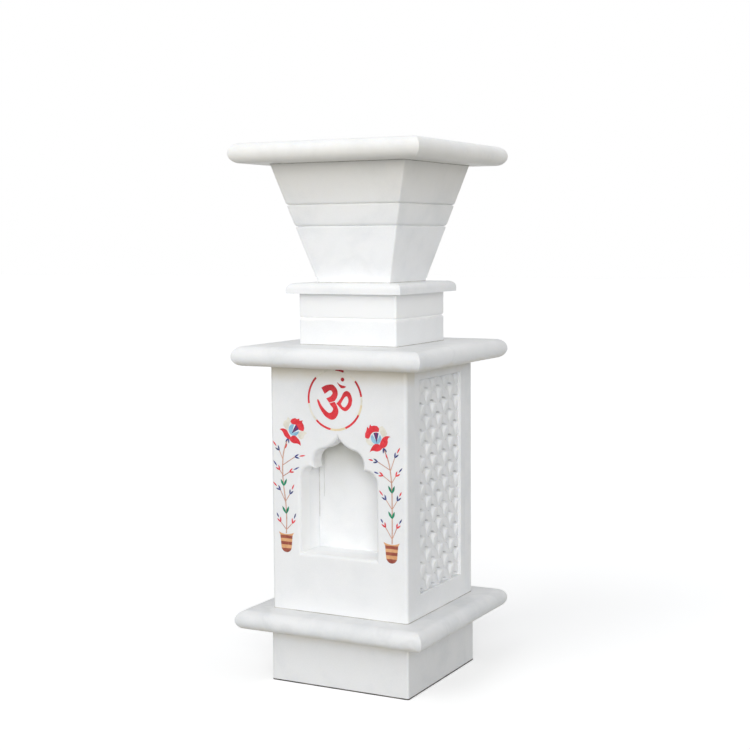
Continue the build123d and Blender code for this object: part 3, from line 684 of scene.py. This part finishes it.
def carved_flank_tree():
    """Stone panel whose sunk field is cut with a net of crossing leaves.

    Circles of one cell's half width stand on every pocket's middle. Where two overlap, a leaf is left
    standing; what only one covers is a four-pointed pocket, deepest just above its middle.
    """
    tree = bpy.data.node_groups.new("carved_flank", "GeometryNodeTree")
    inputs = (
        ("Field Width", "Float", 0.134),
        ("Field Height", "Float", 0.298),
        ("Field Middle", "Float", 0.2875),
        ("Panel Width", "Float", 0.165),
        ("Panel Bottom", "Float", 0.105),
        ("Panel Top", "Float", 0.453),
        ("Face", "Float", 0.1075),
        ("Back", "Float", 0.0825),
        ("Sink", "Float", 0.0044),
        ("Half Cell Width", "Float", 0.01914),
        ("Half Cell Height", "Float", 0.018625),
        ("Pocket Depth", "Float", 0.0052),
        ("Lip", "Float", 0.0007),
        ("Wobble", "Float", 0.0032),
        ("Wobble Scale", "Float", 55.0),
        ("Hand", "Float", 0.0),
        ("Points Across", "Int", 150),
        ("Points Up", "Int", 333),
    )
    for label, kind, value in inputs:
        socket = tree.interface.new_socket(name=label, in_out="INPUT", socket_type=f"NodeSocket{kind}")
        socket.default_value = value
    tree.interface.new_socket(name="Stone", in_out="INPUT", socket_type="NodeSocketMaterial")
    tree.interface.new_socket(name="Geometry", in_out="OUTPUT", socket_type="NodeSocketGeometry")
    given = tree.nodes.new("NodeGroupInput").outputs
    position = tree.nodes.new("GeometryNodeInputPosition").outputs[0]
    link = tree.links.new

    def calc(operation, a, b=None, c=None, clamp=False):
        return add_math(tree, operation, a, b, c, clamp)

    def length(a, b):
        return calc("SQRT", calc("ADD", calc("MULTIPLY", a, a), calc("MULTIPLY", b, b)))

    def half_of(label):
        return calc("MULTIPLY", given[label], 0.5)

    def point(x, y, z):
        node = tree.nodes.new("ShaderNodeCombineXYZ")
        for socket, value in zip(node.inputs, (x, y, z)):
            feed(tree, value, socket)
        return node.outputs[0]

    def move(geometry, place, selection=None):
        node = tree.nodes.new("GeometryNodeSetPosition")
        link(geometry, node.inputs["Geometry"])
        link(place, node.inputs["Position"])
        if selection is not None:
            link(selection, node.inputs["Selection"])
        return node.outputs["Geometry"]

    def bumpy(scale, seed_shift):
        """Slow noise from -0.5 to 0.5 over the field, moved by the hand's number."""
        shift = tree.nodes.new("ShaderNodeVectorMath")
        shift.operation = "ADD"
        link(position, shift.inputs[0])
        link(point(0.0, 0.0, calc("ADD", given["Hand"], seed_shift)), shift.inputs[1])
        noise = add_noise(tree, shift.outputs[0], scale, detail=1.0, roughness=0.5)
        return calc("SUBTRACT", noise["Fac"], 0.5)

    # Flat field of points, and each point's place (dp, dq) in its cell of the net
    grid = tree.nodes.new("GeometryNodeMeshGrid")
    link(given["Field Width"], grid.inputs["Size X"])
    link(given["Field Height"], grid.inputs["Size Y"])
    link(given["Points Across"], grid.inputs["Vertices X"])
    link(given["Points Up"], grid.inputs["Vertices Y"])
    flat = parts_of(tree, position)
    half_width, half_height = half_of("Field Width"), half_of("Field Height")
    stray_across = bumpy(given["Wobble Scale"], seed_shift=3.1)
    stray_up = bumpy(given["Wobble Scale"], seed_shift=7.7)
    strayed_across = calc("MULTIPLY_ADD", stray_across, given["Wobble"], flat["X"])
    strayed_up = calc("MULTIPLY_ADD", stray_up, given["Wobble"], flat["Y"])
    u = calc("DIVIDE", strayed_across, given["Half Cell Width"])
    v = calc("DIVIDE", calc("ADD", strayed_up, half_height), given["Half Cell Height"])
    p = calc("MULTIPLY", calc("SUBTRACT", calc("ADD", u, v), 1.0), 0.5)
    q = calc("MULTIPLY", calc("ADD", calc("SUBTRACT", u, v), 1.0), 0.5)
    p_cell = calc("ROUND", p)
    q_cell = calc("ROUND", q)
    dp = calc("SUBTRACT", p, p_cell)
    dq = calc("SUBTRACT", q, q_cell)
    to_p = length(calc("SUBTRACT", 1.0, calc("ABSOLUTE", dp)), dq)
    to_q = length(dp, calc("SUBTRACT", 1.0, calc("ABSOLUTE", dq)))
    inside = calc("SUBTRACT", calc("MINIMUM", to_p, to_q), math.sqrt(0.5))
    inside = calc("MULTIPLY", calc("MULTIPLY", inside, math.sqrt(2.0)), given["Half Cell Width"])
    aside = calc("MULTIPLY", calc("ADD", dp, dq), given["Half Cell Width"])
    above = calc("MULTIPLY", calc("SUBTRACT", dp, dq), given["Half Cell Height"])

    # Floor of a pocket: a long slope from the lower point up to an arched line, then a steep wall
    arch = calc("SUBTRACT", ARCH_RISE, calc("MULTIPLY", calc("MULTIPLY", aside, aside), ARCH_BEND))
    rise = calc("SUBTRACT", above, arch)
    slope = calc("MULTIPLY_ADD", rise, 1.0 / LONG_SLOPE, 1.0)
    wall = calc("MULTIPLY_ADD", rise, -1.0 / STEEP_WALL, 1.0)
    share = calc("MAXIMUM", calc("MINIMUM", slope, wall), SHALLOWEST)
    white_noise = tree.nodes.new("ShaderNodeTexWhiteNoise")
    white_noise.noise_dimensions = "3D"
    link(point(p_cell, q_cell, given["Hand"]), white_noise.inputs["Vector"])
    luck = white_noise.outputs["Value"]
    chance = calc("MULTIPLY_ADD", luck, *DEPTH_LUCK)
    floor = calc("MULTIPLY", calc("MULTIPLY", given["Pocket Depth"], share), chance)
    side_wall = calc("MAXIMUM", calc("MULTIPLY", inside, SIDE_STEEPNESS), 0.0)
    depth = calc("MAXIMUM", calc("SMOOTH_MIN", side_wall, floor, FLOOR_ROUNDING), 0.0)
    leaf_crown = calc("MULTIPLY", calc("MINIMUM", inside, 0.0), LEAF_CROWN)
    chisel = calc("MULTIPLY", bumpy(CHISEL_SCALE, seed_shift=1.3), CHISEL_MARKS)
    sunk_face = calc("SUBTRACT", given["Face"], given["Sink"])
    x_in = calc("ADD", calc("ADD", calc("SUBTRACT", sunk_face, depth), leaf_crown), chisel)

    # Short stroke of painted shade over each arched line, stored for the stone's colour
    off_line = calc("ABSOLUTE", calc("SUBTRACT", rise, STROKE_RISE))
    stroke = calc("SUBTRACT", 1.0, calc("DIVIDE", off_line, STROKE_HALF_WIDTH), clamp=True)
    stroke = calc("MULTIPLY", stroke, calc("MULTIPLY", inside, RIM_FADE, clamp=True))
    to_tip = calc("SUBTRACT", STROKE_HALF_LENGTH, calc("ABSOLUTE", aside))
    stroke = calc("MULTIPLY", stroke, calc("DIVIDE", to_tip, STROKE_END, clamp=True))
    stroke = calc("MULTIPLY", stroke, calc("MULTIPLY_ADD", luck, *STROKE_LUCK), clamp=True)
    from_side = calc("SUBTRACT", half_width, calc("ABSOLUTE", flat["X"]))
    from_end = calc("SUBTRACT", half_height, calc("ABSOLUTE", flat["Y"]))
    from_edge = calc("SUBTRACT", calc("MINIMUM", from_side, from_end), EDGE_MARGIN)
    stroke = calc("MULTIPLY", stroke, calc("MULTIPLY", from_edge, EDGE_FADE, clamp=True))
    keep = tree.nodes.new("GeometryNodeStoreNamedAttribute")
    keep.data_type = "FLOAT"
    keep.domain = "POINT"
    keep.inputs["Name"].default_value = SHADE_STROKE_ATTRIBUTE
    link(grid.outputs["Mesh"], keep.inputs["Geometry"])
    link(stroke, keep.inputs["Value"])
    in_place = point(x_in, flat["X"], calc("ADD", flat["Y"], given["Field Middle"]))
    relief = move(keep.outputs["Geometry"], in_place)

    def rim_out(geometry, selection, place):
        """Pull the open edge out into one more strip and put its new edge in place."""
        node = tree.nodes.new("GeometryNodeExtrudeMesh")
        node.mode = "EDGES"
        link(geometry, node.inputs["Mesh"])
        link(selection, node.inputs["Selection"])
        node.inputs["Offset Scale"].default_value = 0.0
        moved = move(node.outputs["Mesh"], place, node.outputs["Top"])
        return moved, node.outputs["Top"]

    neighbours = tree.nodes.new("GeometryNodeInputMeshEdgeNeighbors")
    edge_is_open = tree.nodes.new("FunctionNodeCompare")
    edge_is_open.data_type = "INT"
    edge_is_open.operation = "EQUAL"
    link(neighbours.outputs[0], edge_is_open.inputs[2])
    edge_is_open.inputs[3].default_value = 1

    # Places of the strips round the field: its lip, the panel's face, and the panel's back
    here = parts_of(tree, position)
    across, up = here["Y"], calc("SUBTRACT", here["Z"], given["Field Middle"])
    lip_width = calc("ADD", half_width, given["Lip"])
    lip_height = calc("ADD", half_height, given["Lip"])
    lip_across = calc("MULTIPLY", across, calc("DIVIDE", lip_width, half_width))
    lip_up = calc("MULTIPLY", up, calc("DIVIDE", lip_height, half_height))
    out_across = calc("MULTIPLY", across, calc("DIVIDE", half_of("Panel Width"), lip_width))
    room_above = calc("SUBTRACT", given["Panel Top"], given["Field Middle"])
    room_below = calc("SUBTRACT", given["Field Middle"], given["Panel Bottom"])
    is_above = calc("GREATER_THAN", up, 0.0)
    more_above = calc("MULTIPLY", is_above, calc("SUBTRACT", room_above, room_below))
    room = calc("ADD", room_below, more_above)
    out_up = calc("MULTIPLY", up, calc("DIVIDE", room, lip_height))

    def at(x, y, height):
        return point(x, y, calc("ADD", height, given["Field Middle"]))

    under_lip = calc("SUBTRACT", given["Face"], given["Lip"])
    body, top = rim_out(relief, edge_is_open.outputs[0], at(under_lip, across, up))
    body, top = rim_out(body, top, at(given["Face"], lip_across, lip_up))
    body, top = rim_out(body, top, at(given["Face"], out_across, out_up))
    body, top = rim_out(body, top, at(given["Back"], across, up))
    body, top = rim_out(body, top, at(given["Back"], 0.0, 0.0))

    weld = tree.nodes.new("GeometryNodeMergeByDistance")
    weld.inputs["Distance"].default_value = WELD
    link(body, weld.inputs["Geometry"])
    whole = tree.nodes.new("GeometryNodeRealizeInstances")
    link(weld.outputs["Geometry"], whole.inputs["Geometry"])
    stone = tree.nodes.new("GeometryNodeSetMaterial")
    link(whole.outputs["Geometry"], stone.inputs["Geometry"])
    link(given["Stone"], stone.inputs["Material"])
    result = tree.nodes.new("NodeGroupOutput")
    link(stone.outputs["Geometry"], result.inputs["Geometry"])
    return tree


def grow(tree, name, **values):
    """Run a geometry tree with its inputs set, and keep the plain mesh."""
    source = bpy.data.objects.new(f"{name}_source", bpy.data.meshes.new(f"{name}_source"))
    modifier = source.modifiers.new("nodes", "NODES")
    modifier.node_group = tree
    sockets = {item.name: item for item in tree.interface.items_tree if item.item_type == "SOCKET"}
    for label, value in values.items():
        modifier[sockets[label].identifier] = value
    return plain_mesh(source, name)


flank_tree = carved_flank_tree()
for name, hand in (("right_panel", 0.0), ("left_panel", 5.0)):
    panel = grow(flank_tree, f"carved_{name}", Hand=hand, Stone=marble_stones[name])
    if name == "left_panel":
        panel.data.transform(Matrix.Scale(-1.0, 4, (1, 0, 0)))
    close_mesh(panel, FLANK_FLAT_ANGLE)
    set_piece(panel, marble_stones[name], "marble", name)


# ------------------------------------------------------------------ turned-over edges of pot and neck
# In millimetres, unless a name says metres
EDGE_RADIUS = 3.0
POT_FOOT = 568.0
POT_HEIGHT = 166.0
POT_FOOT_HALF = 57.5
POT_FOOT_EDGE = 0.8
POT_FLARE = 48.0
# Bands cut round the pot: rise of the ledge under each, and how high its lower edge is rounded
POT_BANDS = ((78.0, 5.0), (108.0, 3.5))
POT_LEDGE = 2.4
POT_LEDGE_RISE = 1.2
POT_WALL = 22.0
POT_MOUTH_HALF = 83.5
POT_HOLLOW_RADIUS = 10.0
WEEP_PLACE_METRES = (0, 0.07, 0.5945)
WEEP_RADIUS_METRES = 0.006
WEEP_LENGTH_METRES = 0.09
NECK_FOOT = 481.0
NECK_TOP = 553.0
NECK_HALF = 77.0
NECK_GROOVE = 519.0
# Cut of the neck's groove: height over its middle, and depth
GROOVE_CUT = (
    (-3.2, 0.0),
    (-2.2, 0.25),
    (-1.3, 0.9),
    (-0.9, 1.8),
    (0.3, 2.0),
    (0.9, 1.3),
    (1.6, 0.4),
    (2.4, 0.0),
)


def ring_of(half, radius, z, steps=7):
    """Rounded square, anticlockwise from above."""
    points = []
    for quarter in range(4):
        corner = math.radians(90 * quarter + 45)
        middle = (half - radius) * math.sqrt(2.0)
        cx, cy = middle * math.cos(corner), middle * math.sin(corner)
        for step in range(steps + 1):
            angle = math.radians(90 * quarter + 90 * step / steps)
            points.append((cx + radius * math.cos(angle), cy + radius * math.sin(angle), z))
    return points


def join(work, low, high):
    """Faces from one ring of points to another."""
    for i in range(len(low)):
        j = (i + 1) % len(low)
        work.faces.new((low[i], low[j], high[j], high[i]))


def skin(work, rings):
    """Points of every ring in metres, with faces from each ring to the next one."""
    loops = [[work.verts.new([c * MM for c in point]) for point in ring] for ring in rings]
    for low, high in zip(loops, loops[1:]):
        join(work, low, high)
    return loops


def stack_rings(name, rings):
    """Solid between the first ring and the last, skinned ring by ring."""
    work = bmesh.new()
    loops = skin(work, rings)
    work.faces.new(list(reversed(loops[0])))
    work.faces.new(loops[-1])
    return worked_object(name, work)


def pot_half(rise):
    return POT_FOOT_HALF + POT_FLARE * rise / POT_HEIGHT


def pot_profile():
    """(rise, half width) up the outside: each band's lower edge is rounded over onto a narrow ledge."""
    profile = [(0.0, pot_half(0) - POT_FOOT_EDGE), (POT_FOOT_EDGE, pot_half(POT_FOOT_EDGE))]
    for seat, roundness in POT_BANDS:
        on_ledge = pot_half(seat) - POT_LEDGE
        profile += [(seat - 1.0, pot_half(seat - 1.0)), (seat - 0.3, pot_half(seat) - 0.35)]
        profile += [(seat, pot_half(seat) - 1.0), (seat, on_ledge), (seat + POT_LEDGE_RISE, on_ledge)]
        for step in range(1, 7):
            turn = math.radians(15 * step)
            rise = seat + POT_LEDGE_RISE + roundness * (1 - math.cos(turn))
            inset = POT_LEDGE * (1 - math.sin(turn))
            profile.append((rise, pot_half(rise) - inset))
    profile += [(rise, pot_half(rise)) for rise in (POT_HEIGHT - 1.0, POT_HEIGHT)]
    return profile


def make_pot():
    rings = [ring_of(half, EDGE_RADIUS, POT_FOOT + rise) for rise, half in pot_profile()]
    rings.append(ring_of(POT_MOUTH_HALF, POT_HOLLOW_RADIUS, POT_FOOT + POT_HEIGHT))
    rings.append(ring_of(pot_half(POT_WALL) - POT_WALL, POT_HOLLOW_RADIUS, POT_FOOT + POT_WALL))
    pot = stack_rings("grooved_pot", rings)
    work = bmesh.new()
    bmesh.ops.create_cone(
        work,
        cap_ends=True,
        segments=32,
        radius1=WEEP_RADIUS_METRES,
        radius2=WEEP_RADIUS_METRES,
        depth=WEEP_LENGTH_METRES,
        matrix=Matrix.Translation(WEEP_PLACE_METRES) @ Matrix.Rotation(math.radians(90), 4, "X"),
    )
    drill = worked_object("weep_drill", work)
    scene.collection.objects.link(drill)
    bore = pot.modifiers.new("weep_hole", "BOOLEAN")
    bore.object = drill
    bore.solver = "EXACT"
    made = plain_mesh(pot, "grooved_pot")
    bpy.data.objects.remove(drill)
    return close_mesh(made)


def make_neck():
    profile = [(NECK_FOOT, NECK_HALF)]
    profile += [(NECK_GROOVE + over, NECK_HALF - depth) for over, depth in GROOVE_CUT]
    profile += [(NECK_TOP, NECK_HALF)]
    rings = [ring_of(half, EDGE_RADIUS, z) for z, half in profile]
    return close_mesh(plain_mesh(stack_rings("grooved_neck", rings), "grooved_neck"))


set_piece(make_pot(), marble_stones["planter_pot"], "marble", "planter_pot")
set_piece(make_neck(), marble_stones["neck_block"], "marble", "neck_block")


# ------------------------------------------------------------------ lines of cement in the joints, and bands of painted shade
# How far a line stands out of the stone and how far it is let in, in millimetres
LINE_PROUD = 0.3
LINE_SEAT = 1.0
# Dark band of painted contact shadow round the foot on the floor, and lines in the joints: half width,
# corner radius, bottom and top in millimetres
FOOT_SHADOW_BAND = (109.0, 3.0, 0.0, 1.7)
JOINT_LINES = {
    "joint_plinth_slab": (109.0, 3.0, 76.1, 77.0),
    "joint_slab_body": (107.5, 5.0, 105.0, 105.9),
    "joint_body_slab": (107.5, 5.0, 452.0, 453.0),
    "joint_slab_neck": (77.0, 3.0, 481.0, 481.8),
    "joint_neck_collar": (77.0, 3.0, 552.2, 553.0),
    "joint_collar_pot": (57.5, 3.0, 568.0, 568.8),
    "joint_pot_rim": (105.4, 3.0, 733.2, 734.0),
}
# Upright grey lines of painted shade in the niche's back left corner: x, bottom, top and width, in metres
NICHE_LINES = {
    "niche_corner_line": (-0.0594, 0.232, 0.350, 0.0010),
    "niche_second_line": (-0.0515, 0.262, 0.346, 0.0007),
}
NICHE_LINE_DEPTH = 0.0010


def set_line(line, finish):
    scene.collection.objects.link(line)
    set_piece(close_mesh(line), finish, "marble")


def cement_and_shadow_band(name, half, radius, foot, top, finish):
    """Thin band round a joint, let into the stone; at the foot its dark band is painted contact shadow.
    """
    corners = ((-LINE_SEAT, foot), (LINE_PROUD, foot), (LINE_PROUD, top), (-LINE_SEAT, top))
    work = bmesh.new()
    loops = skin(work, [ring_of(half + out, radius + out, z) for out, z in corners])
    join(work, loops[-1], loops[0])
    set_line(worked_object(name, work), finish)


def upright_line(name, x, y, low, high, width, finish):
    """Thin upright grey line of painted corner shade on the niche's back plate."""
    work = bmesh.new()
    size = Matrix.Diagonal((width, NICHE_LINE_DEPTH, high - low, 1.0))
    bmesh.ops.create_cube(work, size=1.0, matrix=Matrix.Translation((x, y, (low + high) / 2)) @ size)
    set_line(worked_object(name, work), finish)


joint_grey = cement_and_shade_stone("joint_cement", (0.60, 0.58, 0.54, 1.0), (0.40, 0.385, 0.35, 1.0))
# Painted contact shadow: a near-black band round the plinth's foot
foot_shadow_finish = cement_and_shade_stone("foot_painted_shadow", (0.16, 0.15, 0.14, 1.0), (0.06, 0.058, 0.055, 1.0))
cement_and_shadow_band("foot_shadow_band", *FOOT_SHADOW_BAND, foot_shadow_finish)
for name, sizes in JOINT_LINES.items():
    cement_and_shadow_band(name, *sizes, joint_grey)

plate_front = min(corner[1] for corner in nodes["niche_back"].bound_box)
# Painted corner shade: pale grey strips in the niche's back left corner
niche_shade_finish = cement_and_shade_stone("niche_corner_shade", (0.74, 0.735, 0.72, 1.0), (0.62, 0.61, 0.59, 1.0))
for name, (x, low, high, width) in NICHE_LINES.items():
    upright_line(name, x, plate_front, low, high, width, niche_shade_finish)


# ------------------------------------------------------------------ sign in the ring
# In millimetres: the front's face, how far the cuts stand out and reach in, and the sign's shift
FACE_Y = -107.5
SIGN_PROUD = 0.12
SIGN_DEPTH = 1.2
SIGN_SHIFT = 0.5
CURVE_STEPS = 6
DOT_X = 9
DOT_Z = 437
DOT_RADIUS = 2.8


def eased(points):
    """Smooth run through points, without the last one; two points make a straight one."""
    if len(points) == 2:
        return [points[0]]
    ends = [points[0]] + list(points) + [points[-1]]
    run = []
    for a, b, c, d in zip(ends, ends[1:], ends[2:], ends[3:]):
        for step in range(CURVE_STEPS):
            t = step / CURVE_STEPS
            run.append(
                tuple(
                    0.5
                    * (
                        2 * b[k]
                        + (c[k] - a[k]) * t
                        + (2 * a[k] - 5 * b[k] + 4 * c[k] - d[k]) * t * t
                        + (3 * b[k] - a[k] - 3 * c[k] + d[k]) * t ** 3
                    )
                    for k in (0, 1)
                )
            )
    return run


def loop_of(*runs):
    """Closed outline of smooth runs that meet in corners."""
    outline = []
    for run in runs:
        outline += eased(run)
    return outline


def cut_stone(name, outlines, finish, slot_name):
    """Thin cut of stone laid into the front face; a second outline is a hole."""
    curve = bpy.data.curves.new(name, "CURVE")
    curve.dimensions = "2D"
    curve.fill_mode = "BOTH"
    curve.extrude = (SIGN_PROUD + SIGN_DEPTH) / 2 * MM
    for outline in outlines:
        spline = curve.splines.new("POLY")
        spline.points.add(len(outline) - 1)
        spline.use_cyclic_u = True
        for point, (x, z) in zip(spline.points, outline):
            point.co = ((x + SIGN_SHIFT) * MM, z * MM, 0.0, 1.0)
    piece = plain_mesh(bpy.data.objects.new(name, curve), name)
    middle = (FACE_Y + (SIGN_DEPTH - SIGN_PROUD) / 2) * MM
    upright = Matrix.Rotation(math.radians(90), 4, "X")
    piece.data.transform(Matrix.Translation((0, middle, 0)) @ upright)
    close_mesh(piece)
    set_piece(piece, finish, slot_name)


upper_hook = loop_of(
    ((-24.5, 424.5), (-18, 428), (-10, 429.5), (-5, 428.5),
     (0, 423), (1.3, 417), (-0.5, 411), (-4, 406.6)),
    ((-4, 406.6), (-12.3, 404.0)),
    ((-12.3, 404.0), (-17, 410)),
    ((-17, 410), (-11, 412.5), (-8, 415.5), (-7, 418), (-9, 421), (-12, 421)),
    ((-12, 421), (-19.5, 416)),
    ((-19.5, 416), (-24.5, 424.5)),
)
lower_hook = loop_of(
    ((-12, 403.2), (-4, 405.7)),
    ((-4, 405.7), (-2, 403.5), (0, 400), (2, 394), (1, 388), (-3, 382.5), (-8, 380.5), (-13, 381.5)),
    ((-13, 381.5), (-19, 385), (-25, 392), (-29, 399), (-31.5, 406), (-30.5, 408.5)),
    ((-30.5, 408.5), (-28, 405.5), (-24, 399), (-18, 393),
     (-13, 390), (-9, 391), (-6.5, 394.5), (-6.5, 397)),
    ((-6.5, 397), (-10, 400.5), (-12, 403.2)),
)
side_loop = loop_of(
    ((-1, 403.5), (3, 407.5), (7, 413), (10, 418.5), (15, 421.5), (20, 419.5), (23, 414), (24, 409)),
    ((24, 409), (22.5, 402), (18, 396), (13, 393.5), (8, 395), (3, 399.5), (-1, 403.5)),
)
side_hole = loop_of(
    ((6, 403), (9, 399.5), (12.5, 399), (16, 402.5), (18, 408),
     (17, 412.5), (14.5, 414), (11, 411), (8, 406.5), (6, 403)),
)
moon = loop_of(
    ((0, 433.5), (4, 430.5), (8, 429), (12, 428.3), (15, 427)),
    ((15, 427), (10, 425), (6, 425.5), (2.5, 429.5), (0, 433.5)),
)
turns = [step * math.pi / 12 for step in range(24)]
dot = [(DOT_X + DOT_RADIUS * math.cos(turn), DOT_Z + DOT_RADIUS * math.sin(turn)) for turn in turns]
for name, outlines in (
    ("sign_upper_hook", [upper_hook]),
    ("sign_lower_hook", [lower_hook]),
    ("sign_loop", [side_loop, side_hole]),
    ("sign_moon", [moon]),
    ("sign_dot", [dot]),
):
    cut_stone(name, outlines, slot_stones["red_stone"], "red_stone")
